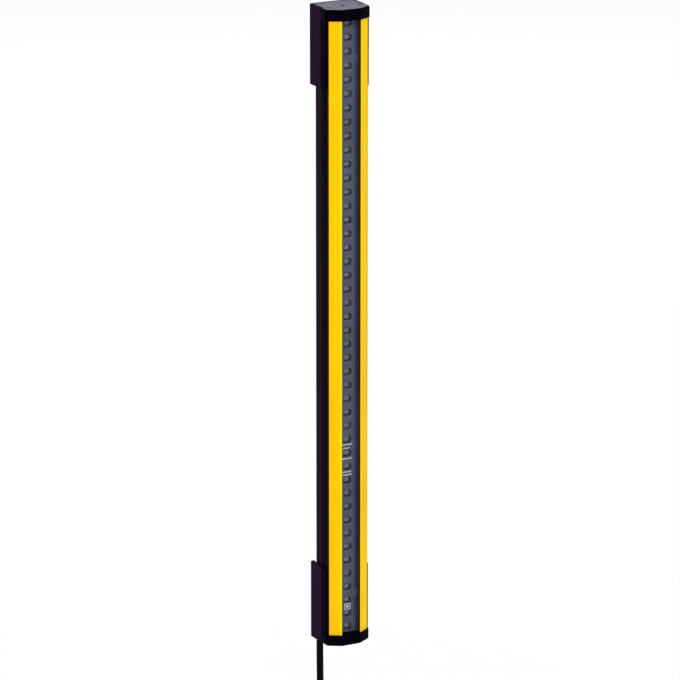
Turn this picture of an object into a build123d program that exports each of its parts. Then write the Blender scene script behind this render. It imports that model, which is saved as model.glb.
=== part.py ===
from build123d import *
import math
import os

# Safety light curtain: an optic bar held at both ends by two-part brackets, with a
# connection pigtail. X runs to the right seen from the front, Y to the rear and Z up.
# The origin is midway between the two bracket screws, in the mounting plane.
# A "depth" is measured rearwards from the front edges of the yellow strips.

# Optic bar
bar_half_width = 15.55
bar_depth = 27.0
shoulder_depth = 15.0
rear_taper_deg = 4.8
rear_corner_r = 2.5
wall = 1.6
side_groove_front = 7.3
side_groove_rear = 8.7
side_groove_cut = 0.7
rear_wall = 1.6
cavity_corner_r = 1.5
seat_clearance = 0.1

# Beams and the lens modules behind the front window
beam_pitch = 10.0
beams_per_module = 5
module_count = 9
first_beam_drop = 11.0
last_beam_rise = 12.0

# Channel in the front of the bar, with its window and seals
channel_half_width = 7.33
ledge_depth = 5.8
lip_thickness = 1.2
opening_half_width = 6.0
window_half_width = 5.2
window_thickness = 1.0
seal_recess = 0.15
window_ear_length = 4.2
ear_beam_offset = 2.5

# Yellow strips on the two bevels
bevel_depth = 4.9
strip_thickness = 1.62
tongue_neck_half = 0.7
tongue_root_half = 1.1
tongue_depth = 1.5

# End caps and their gaskets
cap_height = 8.0
cap_lip = 1.2
cap_half_width = 17.3
cap_visor_depth = 12.6
cap_rear_half_width = 15.9
cap_rear_lip = 1.4
cap_pocket_depth = 2.8
cap_corner_r = 3.5
cap_rear_bevel = 1.0
cap_floor = 2.5
cap_chamber_half_width = 9.5
cap_edge_chamfer = 0.9
gasket_thickness = 0.8
gasket_inset = 0.3
plug_half_width = 4.0
plug_thickness = 2.4
plug_length = 6.0
vent_r = 1.5
vent_hole_depth = 2.0
vent_depth = 13.0

# Cap screws, countersunk flush into the ends
screw_x = 12.0
screw_depth = 11.0
screw_boss_r = 2.1
screw_shank_r = 1.0
screw_pilot_clearance = 0.05
screw_hole_clearance = 0.2
screw_head_r = 2.1
screw_head_height = 1.2
screw_head_rim = 0.15
screw_length = 14.0
screw_side_count = 16

# Lens modules and lens plates
module_half_width = 9.0
module_gap = 0.12
aperture_half_width = 3.4
aperture_half_height = 2.45
lens_slot_depth = 8.3
lens_slot_half_width = 7.4
lens_plate_thickness = 1.8
lens_rise = 1.0
lens_side_share = 0.7
lens_end_share = 0.45
lens_bevel = 0.85
aperture_corner = 1.3
tunnel_half = 1.7

# Circuit boards and what they carry
board_count = 3
board_gap = 0.6
rear_room = 6.2
board_thickness = 1.6
board_half_width = 12.8
rail_inner_half_width = 11.6
rail_thickness = 1.0
diode_size = 2.6
diode_height = 1.7
chip_size = 9.0
chip_height = 1.4
link_length = 9.0
link_width = 6.0
link_height = 2.6
capacitor_half = 2.0
capacitor_x = 6.4
capacitor_height = 4.0
capacitor_spacing = 6.0
light_pipe_half = 0.9
light_pipe_beams = (30.5, 31.5, 32.5)

# Two-part end brackets
bracket_length = 56.8
shoe_length = 34.0
bracket_half_width = 17.2
bracket_floor = 3.5
bracket_front_depth = 12.8
bracket_corner_r = 2.0
bracket_clearance = 0.15
bracket_split_gap = 0.35
bracket_edge_chamfer = 0.3
floor_relief_half_width = 14.0
floor_relief_length = 4.5
floor_relief_corner_r = 1.5
arm_half_width = 17.0
arm_front_depth = 6.5
arm_groove_depth = 0.5
arm_groove_width = 0.6
hook_depths = (7.45, 8.55)
hook_reach = 0.6
tongue_half_width = 9.0
tongue_length = 20.0
tongue_thickness = 1.55
bolt_inset = 24.0
bolt_hole_r = 2.75
bolt_recess_r = 4.2
bolt_recess_depth = 0.7
bolt_recess_side_count = 16

# Pigtail: cable, entry bush, cores and round plug
cable_r = 2.5
cable_x = -12.3
cable_inset = 2.4
cable_length = 112.0
bush_r = 3.1
bush_length = 2.4
bush_clearance = 0.02
tail_length = 2.5
core_r = 0.4
core_spread = 0.6
core_pitch = 1.2
socket_height = 3.2
socket_length = 7.0
socket_rise = 17.5
socket_x = -8.1
socket_half_width = 2.6
core_rise_off_board = 1.7
core_bend_x = -10.4
core_bend_inset = 4.0
core_rise = 0.8
core_room = 4.4

plug_grip_length = 27.0
plug_grip_r = 5.2
plug_neck_r = 3.5
plug_cone_length = 11.0
nut_knurl_r = 7.25
nut_knurl_length = 12.0
nut_thread_r = 6.0
nut_thread_length = 10.5
nut_bore_r = 4.75
nut_overlap = 4.0
plug_side_count = 24
insert_r = 4.65
insert_recess = 6.0
pin_r = 0.5
pin_length = 5.0
pin_circle_r = 2.75
pin_ring_count = 7
pin_side_count = 8

# Values that follow from the sizes above
beam_count = module_count * beams_per_module
bar_length = first_beam_drop + (beam_count - 1) * beam_pitch + last_beam_rise
mounting_depth = bar_depth + bracket_floor
cap_rear_depth = bar_depth + cap_rear_lip
front = -mounting_depth
bar_top = bar_length / 2
bar_bottom = -bar_top
cap_inner = bar_top - cap_height
profile_end = cap_inner + cap_pocket_depth - gasket_thickness
first_beam = bar_top - first_beam_drop
bevel_slope = bevel_depth / (bar_half_width - channel_half_width)
bevel_angle = math.atan(bevel_slope)
rear_half_width = bar_half_width - (bar_depth - shoulder_depth) * math.tan(math.radians(rear_taper_deg))
cavity_front = ledge_depth + lip_thickness
cavity_rear = bar_depth - rear_wall
board_depth = cavity_rear - rear_room
board_rear = board_depth + board_thickness
cable_depth = bar_depth - cable_inset
core_depth = board_rear + core_rise_off_board
core_bend_depth = bar_depth - core_bend_inset
window_front = ledge_depth - window_thickness
shoe_end = bar_top - shoe_length
bracket_end = bar_top - bracket_length
bolt_height = bar_top - bolt_inset
lens_half_width = aperture_half_width - lens_side_share * aperture_corner
lens_half_height = aperture_half_height - lens_end_share * aperture_corner
screw_places = ((-screw_x, screw_depth), (screw_x, screw_depth))
screw_hole_r = screw_shank_r + screw_hole_clearance
countersink = screw_head_r + seat_clearance + screw_head_rim - screw_hole_r
grip_taper = math.degrees(math.atan((plug_grip_r - plug_neck_r) / plug_cone_length))


def section_at(height):
    """A sketch plane across the bar, whose y is the depth behind the front edges."""
    return Plane((0, front, height))


def taper_x(depth, offset=0.0):
    """Half width of the bar's rear part at a depth, moved inwards by offset."""
    run = max(0.0, depth - shoulder_depth)
    return bar_half_width - offset - run * math.tan(math.radians(rear_taper_deg))


def seat_depth(x):
    """Depth of the bevel that a strip lies on, at a distance x from the middle."""
    return strip_thickness + (x - channel_half_width) * bevel_slope


def beam_height(index):
    """Height of a beam's axis, counted from the top."""
    return first_beam - index * beam_pitch


def tongue_points(clearance):
    """Dovetail under the right strip, from its neck on the seat to its root."""
    mid_x = (channel_half_width + bar_half_width) / 2
    neck, root = tongue_neck_half + clearance, tongue_root_half + clearance
    deep = tongue_depth + clearance
    corners = []
    for along, inward in ((-neck, -clearance), (neck, -clearance), (root, deep), (-root, deep)):
        x = mid_x + along * math.cos(bevel_angle) - inward * math.sin(bevel_angle)
        y = seat_depth(mid_x) + along * math.sin(bevel_angle) + inward * math.cos(bevel_angle)
        corners.append((x, y))
    return corners


def outline_face(points, radii=None):
    """A face symmetric about X = 0, from its right-hand corners and the radii of some of them."""
    with BuildSketch() as face:
        with BuildLine():
            Polyline(*points, *[(-x, y) for x, y in reversed(points)], close=True)
        make_face()
        for (x, y), radius in (radii or {}).items():
            corners = [v for v in face.vertices() if abs(abs(v.X) - x) < 1e-4 and abs(v.Y - y) < 1e-4]
            fillet(corners, radius)
    return face.sketch


def rectangle_between(x0, x1, depth0, depth1, mode=Mode.ADD):
    """A rectangle across the bar, given by its sides and its depths."""
    with Locations(((x0 + x1) / 2, (depth0 + depth1) / 2)):
        Rectangle(x1 - x0, depth1 - depth0, mode=mode)


def block(x0, x1, depth0, depth1, bottom, top, mode=Mode.ADD):
    """A box given by its sides, its depths and its heights."""
    with Locations(((x0 + x1) / 2, front + (depth0 + depth1) / 2, (bottom + top) / 2)):
        Box(x1 - x0, depth1 - depth0, top - bottom, mode=mode)


def write(part, name):
    """Label a finished piece and write its file."""
    part.label = name
    export_step(part, f"parts/{name}.step")


# Outlines across the bar: the profile's outside, its inside and the space a bracket leaves
bar_rear = (rear_half_width, bar_depth)
bar_face = outline_face(
    [
        (channel_half_width, strip_thickness),
        (bar_half_width, seat_depth(bar_half_width)),
        (bar_half_width, shoulder_depth),
        bar_rear,
    ],
    {bar_rear: rear_corner_r},
)
cavity_corner = (taper_x(cavity_rear, wall), cavity_rear)
cavity_face = outline_face(
    [(bar_half_width - wall, cavity_front), (bar_half_width - wall, shoulder_depth), cavity_corner],
    {cavity_corner: cavity_corner_r},
)
clearance_face = outline_face(
    [
        (bar_half_width + bracket_clearance, 0),
        (bar_half_width + bracket_clearance, shoulder_depth),
        (rear_half_width + bracket_clearance, bar_depth + bracket_clearance),
    ]
)

os.makedirs("parts", exist_ok=True)

# Extruded housing, with the front channel, board rails, screw bosses and strip grooves
with BuildPart() as housing_profile:
    with BuildSketch(section_at(-profile_end)):
        add(bar_face)
        add(cavity_face, mode=Mode.SUBTRACT)
        rectangle_between(-channel_half_width, channel_half_width, 0, ledge_depth, Mode.SUBTRACT)
        rectangle_between(-opening_half_width, opening_half_width, ledge_depth, cavity_front, Mode.SUBTRACT)
        for side in (1, -1):
            for depth in (board_depth - seat_clearance - rail_thickness, board_rear + seat_clearance):
                outer = taper_x(depth + rail_thickness, wall / 2)
                low, high = sorted((side * rail_inner_half_width, side * outer))
                rectangle_between(low, high, depth, depth + rail_thickness)
            low, high = sorted((side * screw_x, side * (bar_half_width - wall / 2)))
            rectangle_between(low, high, screw_depth - screw_shank_r, screw_depth + screw_shank_r)
            low, high = sorted((side * (bar_half_width - side_groove_cut), side * bar_half_width))
            rectangle_between(low, high, side_groove_front, side_groove_rear, Mode.SUBTRACT)
            with Locations((side * screw_x, screw_depth)):
                Circle(screw_boss_r)
                Circle(screw_shank_r + screw_pilot_clearance, mode=Mode.SUBTRACT)
            with BuildLine():
                Polyline(*[(side * x, y) for x, y in tongue_points(seat_clearance)], close=True)
            make_face(mode=Mode.SUBTRACT)
    extrude(amount=2 * profile_end)
write(housing_profile.part, "housing_profile")

# Yellow strips, slid along their dovetails
for side, name in ((-1, "yellow_strip_left"), (1, "yellow_strip_right")):
    with BuildPart() as strip:
        with BuildSketch(section_at(-profile_end)):
            with BuildLine():
                Polyline(
                    (side * channel_half_width, 0),
                    (side * bar_half_width, bevel_depth),
                    (side * bar_half_width, seat_depth(bar_half_width)),
                    (side * channel_half_width, strip_thickness),
                    close=True,
                )
            make_face()
            with BuildLine():
                Polyline(*[(side * x, y) for x, y in tongue_points(0.0)], close=True)
            make_face()
        extrude(amount=2 * profile_end)
    write(strip.part, name)

# Clear front window, with two pairs of ears that reach the channel's walls
ear_heights = [beam_height(ear_beam_offset), beam_height(beam_count - 1 - ear_beam_offset)]
with BuildPart() as front_window:
    block(-window_half_width, window_half_width, window_front, ledge_depth, -profile_end, profile_end)
    ear_reach = channel_half_width - seat_clearance
    for height in ear_heights:
        low, high = height - window_ear_length / 2, height + window_ear_length / 2
        block(-ear_reach, ear_reach, window_front, ledge_depth, low, high)
write(front_window.part, "front_window")

# Rubber seals beside the window, each in three lengths between the ears
for side, name in ((-1, "window_seal_left"), (1, "window_seal_right")):
    inner_x, outer_x = window_half_width + seat_clearance / 2, channel_half_width - seat_clearance / 2
    near, far = sorted((side * inner_x, side * outer_x))
    stops = [profile_end]
    notch = window_ear_length / 2 + seat_clearance
    for height in ear_heights:
        stops += [height + notch, height - notch]
    stops.append(-profile_end)
    with BuildPart() as seal:
        for upper, lower in zip(stops[::2], stops[1::2]):
            block(near, far, window_front + seal_recess, ledge_depth, lower, upper)
    write(seal.part, name)

# Lens modules of five beams, and the clear lens plate that slides into each from the side
module_front = ledge_depth + seat_clearance
for index in range(module_count):
    middle = index * beams_per_module + (beams_per_module - 1) / 2
    half = beams_per_module * beam_pitch / 2 - module_gap / 2
    top = min(beam_height(middle) + half, cap_inner)
    bottom = max(beam_height(middle) - half, -cap_inner)
    beams = [beam_height(index * beams_per_module + k) for k in range(beams_per_module)]
    pipes = [beam_height(b) for b in light_pipe_beams if index == b // beams_per_module]
    nose_half = opening_half_width - seat_clearance

    with BuildPart() as lens_module:
        block(-nose_half, nose_half, module_front, cavity_front + seat_clearance, bottom, top)
        block(-module_half_width, module_half_width, cavity_front + seat_clearance, board_depth, bottom, top)
        slot_rear = lens_slot_depth + lens_plate_thickness + seat_clearance
        slot_reach = lens_slot_half_width
        block(-slot_reach, module_half_width, lens_slot_depth, slot_rear, bottom, top, Mode.SUBTRACT)
        with BuildSketch(Plane.XZ.offset(-front - module_front)) as apertures:
            with Locations(*[(0, z) for z in beams]):
                Rectangle(2 * aperture_half_width, 2 * aperture_half_height)
            chamfer(apertures.vertices(), aperture_corner)
        extrude(amount=-(lens_slot_depth - module_front), mode=Mode.SUBTRACT)
        for z in beams:
            low, high = z - tunnel_half, z + tunnel_half
            block(-tunnel_half, tunnel_half, slot_rear, board_depth, low, high, Mode.SUBTRACT)
        hole = light_pipe_half + seat_clearance
        for z in pipes:
            block(-hole, hole, module_front, board_depth, z - hole, z + hole, Mode.SUBTRACT)
    write(lens_module.part, f"lens_module_{index + 1}")

    with BuildPart() as lens_plate:
        plate_top, plate_bottom = top - seat_clearance, bottom + seat_clearance
        plate_rear = lens_slot_depth + lens_plate_thickness
        reach = lens_slot_half_width - seat_clearance
        block(-reach, reach, lens_slot_depth, plate_rear, plate_bottom, plate_top)
        with BuildSketch(Plane.XZ.offset(-front - lens_slot_depth)):
            with Locations(*[(0, z) for z in beams]):
                Rectangle(2 * lens_half_width, 2 * lens_half_height)
        extrude(amount=lens_rise)
        chamfer(lens_plate.faces().group_by(Axis.Y)[0].edges(), lens_bevel)
        hole = light_pipe_half + seat_clearance
        for z in pipes:
            block(-hole, hole, lens_slot_depth, plate_rear, z - hole, z + hole, Mode.SUBTRACT)
    write(lens_plate.part, f"lens_plate_{index + 1}")

# Light pipes of the three status lights, from the board to the back of the window
with BuildPart() as status_light_pipes:
    for k in light_pipe_beams:
        low, high = beam_height(k) - light_pipe_half, beam_height(k) + light_pipe_half
        block(-light_pipe_half, light_pipe_half, module_front, board_depth, low, high)
write(status_light_pipes.part, "status_light_pipes")

# Circuit boards in the rails, joined end to end by board links
board_end = cap_inner - seat_clearance
board_length = (2 * board_end - (board_count - 1) * board_gap) / board_count
board_bottoms = [-board_end + i * (board_length + board_gap) for i in range(board_count)]
for index, bottom in enumerate(board_bottoms):
    with BuildPart() as board:
        block(-board_half_width, board_half_width, board_depth, board_rear, bottom, bottom + board_length)
    write(board.part, f"circuit_board_{index + 1}")

# One light emitting diode for each beam, soldered to the boards
with BuildPart() as beam_diodes:
    half = diode_size / 2
    for k in range(beam_count):
        z = beam_height(k)
        block(-half, half, board_depth - diode_height, board_depth, z - half, z + half)
write(beam_diodes.part, "beam_diodes")

# Chips, links between the boards and power capacitors on the boards' rear faces
with BuildPart() as control_chips:
    for bottom in board_bottoms:
        z, half = bottom + board_length / 2, chip_size / 2
        block(-half, half, board_rear, board_rear + chip_height, z - half, z + half)
write(control_chips.part, "control_chips")

with BuildPart() as board_links:
    for bottom in board_bottoms[1:]:
        z = bottom - board_gap / 2
        low, high = z - link_length / 2, z + link_length / 2
        block(-link_width / 2, link_width / 2, board_rear, board_rear + link_height, low, high)
write(board_links.part, "board_links")

socket_bottom = bar_bottom + socket_rise
with BuildPart() as power_capacitors:
    for side in (-1, 1):
        z = socket_bottom + socket_length + side * capacitor_spacing
        low, high = capacitor_x - capacitor_half, capacitor_x + capacitor_half
        block(low, high, board_rear, board_rear + capacitor_height, z - capacitor_half, z + capacitor_half)
write(power_capacitors.part, "power_capacitors")

with BuildPart() as lead_socket:
    low, high = socket_x - socket_half_width, socket_x + socket_half_width
    block(low, high, board_rear, board_rear + socket_height, socket_bottom, socket_bottom + socket_length)
write(lead_socket.part, "lead_socket")


# End cap: a visor round the strips in front, and a rear part that lies inside the bracket
cap_corner = (cap_half_width, (cap_half_width - channel_half_width) * bevel_slope - cap_lip)
cap_face = outline_face(
    [
        (channel_half_width, -cap_lip),
        cap_corner,
        (cap_half_width, cap_visor_depth),
        (cap_rear_half_width, cap_visor_depth),
        (cap_rear_half_width, cap_rear_depth - cap_rear_bevel),
        (cap_rear_half_width - cap_rear_bevel, cap_rear_depth),
    ],
    {cap_corner: cap_corner_r},
)
cap_pocket_face = outline_face(
    [
        (channel_half_width, -seat_clearance),
        (bar_half_width + seat_clearance, bevel_depth - seat_clearance),
        (bar_half_width + seat_clearance, cap_visor_depth),
        (2 * cap_half_width, cap_visor_depth),
        (2 * cap_half_width, mounting_depth),
    ]
)


def end_cap(side):
    """The cap of one end: side is 1 at the top and -1 at the bottom."""
    inner, end = side * cap_inner, side * bar_top
    with BuildPart() as cap:
        with BuildSketch(section_at(inner)):
            add(cap_face)
        extrude(amount=side * cap_height)
        chamfer(cap.edges().group_by(Axis.Z)[-1 if side > 0 else 0], cap_edge_chamfer)
        with BuildSketch(section_at(inner)):
            add(cap_pocket_face)
            filler = channel_half_width - seat_clearance
            rectangle_between(-filler, filler, -seat_clearance, window_front - seat_clearance, Mode.SUBTRACT)
        extrude(amount=side * cap_pocket_depth, mode=Mode.SUBTRACT)
        pocket, floor = inner + side * cap_pocket_depth, end - side * cap_floor
        low, high = sorted((pocket, floor))
        chamber = cap_chamber_half_width
        block(-chamber, chamber, cavity_front, cavity_rear, low, high, Mode.SUBTRACT)
        low, high = sorted((floor, inner - side * plug_length))
        plug_front, plug_rear = cavity_rear - plug_thickness, cavity_rear - seat_clearance
        block(-plug_half_width, plug_half_width, plug_front, plug_rear, low, high)
        with BuildSketch(section_at(end)):
            with Locations(*screw_places):
                RegularPolygon(screw_hole_r, screw_side_count)
        extrude(amount=-side * cap_height, mode=Mode.SUBTRACT)
        end_face = cap.faces().sort_by(Axis.Z)[-1 if side > 0 else 0]
        chamfer(end_face.inner_wires().edges(), countersink)
        with BuildSketch(section_at(end)):
            with Locations((0, vent_depth)):
                Circle(vent_r)
        extrude(amount=-side * vent_hole_depth, mode=Mode.SUBTRACT)
        if side < 0:
            with BuildSketch(section_at(end)):
                with Locations((cable_x, cable_depth)):
                    Circle(bush_r + bush_clearance)
            extrude(amount=cap_floor, mode=Mode.SUBTRACT)
            room = core_room / 2
            room_front, room_rear = cable_depth - 2 * room, cable_depth + room
            block(cable_x - room, -chamber, room_front, room_rear, floor, pocket, Mode.SUBTRACT)
    return cap.part


def end_gasket(side):
    """Flat gasket between the profile's end and the cap."""
    with BuildPart() as gasket:
        with BuildSketch(section_at(side * profile_end)):
            add(bar_face)
            offset(amount=-gasket_inset, kind=Kind.INTERSECTION)
            window_gap = ledge_depth + seat_clearance
            rectangle_between(-channel_half_width, channel_half_width, 0, window_gap, Mode.SUBTRACT)
            add(cavity_face, mode=Mode.SUBTRACT)
        extrude(amount=side * gasket_thickness)
    return gasket.part


def cap_screws(side):
    """Two countersunk screws of one end, as separate solids."""
    end_plane = section_at(side * bar_top)
    with BuildPart() as screws:
        with BuildSketch(end_plane):
            with Locations(*screw_places):
                RegularPolygon(screw_head_r, screw_side_count)
        extrude(amount=-side * screw_head_height)
        neck = screws.edges().group_by(Axis.Z)[0 if side > 0 else -1]
        chamfer(neck, screw_head_height - screw_head_rim)
        with BuildSketch(end_plane):
            with Locations(*screw_places):
                RegularPolygon(screw_shank_r, screw_side_count)
        extrude(amount=-side * screw_length)
    return screws.part


# Bracket section: thick walls at the rear, a groove, and thin arms at the front
groove_x = arm_half_width - arm_groove_depth
bracket_rear = (bracket_half_width, mounting_depth)
bracket_face = outline_face(
    [
        (arm_half_width, arm_front_depth),
        (arm_half_width, bracket_front_depth - arm_groove_width),
        (groove_x, bracket_front_depth - arm_groove_width),
        (groove_x, bracket_front_depth),
        (bracket_half_width, bracket_front_depth),
        bracket_rear,
    ],
    {bracket_rear: bracket_corner_r},
)


def bracket_body(start, length, side):
    """One length of bracket round the bar, from height start to start + side * length."""
    with BuildPart() as body:
        with BuildSketch(section_at(start)):
            add(bracket_face)
        extrude(amount=side * length)
        far = start + side * length
        wall_front = front + bracket_front_depth
        rim = [e for e in body.edges() if abs(e.center().Z - far) < 1e-4 and e.center().Y > wall_front + 1e-4]
        chamfer(rim, bracket_edge_chamfer)
        with BuildSketch(section_at(start)):
            add(clearance_face)
        extrude(amount=side * length, mode=Mode.SUBTRACT)
        low, high = sorted((start, far))
        wall_x = bar_half_width + bracket_clearance
        block(wall_x - hook_reach, wall_x + hook_reach, *hook_depths, low, high)
        block(-wall_x - hook_reach, -wall_x + hook_reach, *hook_depths, low, high)
    return body.part


def bracket_shoe(side):
    """Outer part of a bracket: it holds the end cap and is screwed down through its tongue pocket."""
    with BuildPart() as shoe:
        add(bracket_body(side * shoe_end, shoe_length, side))
        cap_zone = side * (cap_inner - bracket_clearance)
        low, high = sorted((cap_zone, side * bar_top))
        half = bracket_half_width + 1
        block(-half, half, 0, cap_visor_depth + bracket_clearance, low, high, Mode.SUBTRACT)
        half = cap_rear_half_width + bracket_clearance
        block(-half, half, 0, cap_rear_depth + bracket_clearance, low, high, Mode.SUBTRACT)
        half = tongue_half_width + seat_clearance
        deep = bar_depth + bracket_clearance + tongue_thickness + seat_clearance
        low, high = sorted((side * shoe_end, side * (shoe_end + tongue_length + seat_clearance)))
        block(-half, half, bar_depth, deep, low, high, Mode.SUBTRACT)
        with Locations(Plane((0, 0, side * bolt_height), x_dir=(1, 0, 0), z_dir=(0, 1, 0))):
            Hole(bolt_hole_r, depth=mounting_depth - deep + seat_clearance)
    return shoe.part


def bracket_slide(side):
    """Inner part of a bracket, whose tongue runs up behind the bar under the screw."""
    start = shoe_end - bracket_split_gap
    with BuildPart() as slide:
        add(bracket_body(side * start, start - bracket_end, -side))
        with BuildSketch(Plane.XZ.offset(-front - bar_depth)):
            with Locations((0, side * bracket_end)):
                RectangleRounded(2 * floor_relief_half_width, 2 * floor_relief_length, floor_relief_corner_r)
        extrude(amount=-2 * bracket_floor, mode=Mode.SUBTRACT)
        tongue_front = bar_depth + bracket_clearance
        low, high = sorted((side * (start - 1), side * (shoe_end + tongue_length)))
        block(-tongue_half_width, tongue_half_width, tongue_front, tongue_front + tongue_thickness, low, high)
        hole_place = (0, front + tongue_front, side * bolt_height)
        with Locations(Plane(hole_place, x_dir=(1, 0, 0), z_dir=(0, -1, 0))):
            Hole(bolt_hole_r, depth=tongue_thickness)
        with BuildSketch(Plane.XZ.offset(-front - tongue_front)):
            with Locations((0, side * bolt_height)):
                RegularPolygon(bolt_recess_r, bolt_recess_side_count)
        extrude(amount=-bolt_recess_depth, mode=Mode.SUBTRACT)
    return slide.part


for side, end in ((1, "top"), (-1, "bottom")):
    write(end_cap(side), f"{end}_end_cap")
    write(end_gasket(side), f"{end}_gasket")
    write(cap_screws(side), f"{end}_cap_screws")
    write(bracket_shoe(side), f"{end}_bracket_shoe")
    write(bracket_slide(side), f"{end}_bracket_slide")

# Cable entry in the bottom cap: bush, the jacket's fixed end and the cores to the socket
cable_y = front + cable_depth
with BuildPart() as cable_bush:
    with BuildSketch(Plane((cable_x, cable_y, bar_bottom))):
        Circle(bush_r)
        Circle(cable_r + bush_clearance, mode=Mode.SUBTRACT)
    extrude(amount=bush_length)
write(cable_bush.part, "cable_bush")

with BuildPart() as cable_tail:
    with BuildSketch(Plane((cable_x, cable_y, bar_bottom))):
        Circle(cable_r)
    extrude(amount=tail_length)
write(cable_tail.part, "cable_tail")

with BuildPart() as cable_cores:
    tail_top = bar_bottom + tail_length
    for i, (dx, dy) in enumerate(((-1, 1), (-1, -1), (1, 1), (1, -1))):
        begin = (cable_x + dx * core_spread, cable_y + dy * core_spread, tail_top)
        bend_x, bend_y = core_bend_x + dx * core_spread, front + core_bend_depth + dy * core_spread
        end_x, end_y = socket_x + (i - 1.5) * core_pitch, front + core_depth
        with BuildLine() as route:
            Polyline(
                begin,
                (begin[0], begin[1], tail_top + core_rise),
                (bend_x, bend_y, -profile_end - gasket_thickness / 2),
                (bend_x, bend_y, -profile_end + 2 * core_rise),
                (end_x, end_y, socket_bottom - 2 * core_rise),
                (end_x, end_y, socket_bottom),
            )
        with BuildSketch(Plane(origin=begin, z_dir=(0, 0, 1))):
            RegularPolygon(core_r, 6)
        sweep(path=route.line, transition=Transition.RIGHT)
write(cable_cores.part, "cable_cores")

# Free cable: straight out of the cap for the first run, then a slight lean, then straight down
cable_drifts = (0.0, 0.0, 0.6, 1.6, 1.6)
cable_run = cable_length / (len(cable_drifts) - 1)
cable_route = [
    (cable_x + drift, cable_y - drift, bar_bottom - i * cable_run) for i, drift in enumerate(cable_drifts)
]


def bend_radii(points):
    """An arc for each corner of a route, as large as its two runs allow."""
    radii = []
    for before, corner, after in zip(points, points[1:], points[2:]):
        run_in, run_out = Vector(*corner) - Vector(*before), Vector(*after) - Vector(*corner)
        turn = math.radians(run_in.get_angle(run_out))
        radii.append(0.45 * min(run_in.length, run_out.length) / math.tan(turn / 2))
    return radii


cable_radii = bend_radii(cable_route)
print("cable bend radii", [round(r, 1) for r in cable_radii])
with BuildPart() as pigtail_cable:
    with BuildLine() as route:
        FilletPolyline(*cable_route, radius=cable_radii)
    with BuildSketch(Plane(origin=cable_route[0], z_dir=(0, 0, -1))):
        Circle(cable_r)
    sweep(path=route.line)
write(pigtail_cable.part, "pigtail_cable")
expected = math.pi * cable_r**2 * sum(edge.length for edge in route.edges())
print("cable volume", round(pigtail_cable.part.volume, 1), "section times length", round(expected, 1))

# Round plug on the cable's end: moulded grip, nut, insert and pins
plug_x, plug_y, plug_top = cable_route[-1]
grip_bottom = plug_top - plug_grip_length
knurl_top = grip_bottom + nut_overlap
thread_top = knurl_top - nut_knurl_length
nut_bottom = thread_top - nut_thread_length
insert_top = grip_bottom - insert_recess
with BuildPart() as connector_grip:
    with BuildSketch(Plane((plug_x, plug_y, plug_top - plug_cone_length))):
        RegularPolygon(plug_grip_r, plug_side_count)
    extrude(amount=plug_cone_length, taper=grip_taper)
    with BuildSketch(Plane((plug_x, plug_y, knurl_top + seat_clearance))):
        RegularPolygon(plug_grip_r, plug_side_count)
    extrude(amount=plug_grip_length - plug_cone_length - nut_overlap - seat_clearance)
    with BuildSketch(Plane((plug_x, plug_y, insert_top))):
        RegularPolygon(insert_r, plug_side_count)
    extrude(amount=insert_recess + nut_overlap + seat_clearance)
write(connector_grip.part, "connector_grip")

with BuildPart() as connector_nut:
    with BuildSketch(Plane((plug_x, plug_y, thread_top))):
        RegularPolygon(nut_knurl_r, plug_side_count)
    extrude(amount=nut_knurl_length)
    with BuildSketch(Plane((plug_x, plug_y, nut_bottom))):
        Circle(nut_thread_r)
    extrude(amount=nut_thread_length)
    with BuildSketch(Plane((plug_x, plug_y, nut_bottom))):
        Circle(nut_bore_r)
    extrude(amount=nut_thread_length + nut_knurl_length, mode=Mode.SUBTRACT)
write(connector_nut.part, "connector_nut")

with BuildPart() as connector_insert:
    with BuildSketch(Plane((plug_x, plug_y, insert_top))):
        RegularPolygon(insert_r, plug_side_count)
    extrude(amount=-(insert_top - nut_bottom - pin_length - 1))
write(connector_insert.part, "connector_insert")

pin_top = nut_bottom + pin_length + 1
with BuildPart() as connector_pins:
    with BuildSketch(Plane((plug_x, plug_y, pin_top))):
        RegularPolygon(pin_r, pin_side_count)
        with PolarLocations(pin_circle_r, pin_ring_count):
            RegularPolygon(pin_r, pin_side_count)
    extrude(amount=-pin_length)
write(connector_pins.part, "connector_pins")
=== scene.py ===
import logging
import math
from dataclasses import dataclass, field
from enum import Enum

import bmesh
import bpy
import numpy as np
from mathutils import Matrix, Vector


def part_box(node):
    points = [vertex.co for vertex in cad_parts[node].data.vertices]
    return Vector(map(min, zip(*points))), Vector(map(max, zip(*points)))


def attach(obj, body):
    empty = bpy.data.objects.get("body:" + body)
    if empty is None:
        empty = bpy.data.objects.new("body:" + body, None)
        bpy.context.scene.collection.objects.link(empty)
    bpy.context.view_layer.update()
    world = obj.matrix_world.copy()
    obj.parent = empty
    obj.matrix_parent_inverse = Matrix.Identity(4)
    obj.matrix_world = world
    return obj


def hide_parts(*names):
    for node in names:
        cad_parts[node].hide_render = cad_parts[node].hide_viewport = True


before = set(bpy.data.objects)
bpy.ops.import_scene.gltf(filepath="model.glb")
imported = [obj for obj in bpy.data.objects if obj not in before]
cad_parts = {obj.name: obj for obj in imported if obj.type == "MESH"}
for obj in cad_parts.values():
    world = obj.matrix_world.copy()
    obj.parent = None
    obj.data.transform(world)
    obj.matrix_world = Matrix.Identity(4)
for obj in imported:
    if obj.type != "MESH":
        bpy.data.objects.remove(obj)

LOG = logging.getLogger("light_curtain")
MM = 0.001
ROOT = "root"

# Sizes shared with the solids, in millimetres
BAR_HALF_LENGTH = 231.5
FRONT_Y = -30.5
FIRST_BEAM = 220.5
BEAM_PITCH = 10.0
BEAM_COUNT = 45
CABLE_X = -12.3
CABLE_DEPTH = 24.6
CABLE_RADIUS = 2.5
CABLE_LENGTH = 112.0
CABLE_DRIFTS = (0.0, 0.0, 0.6, 1.6, 1.6)


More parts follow.
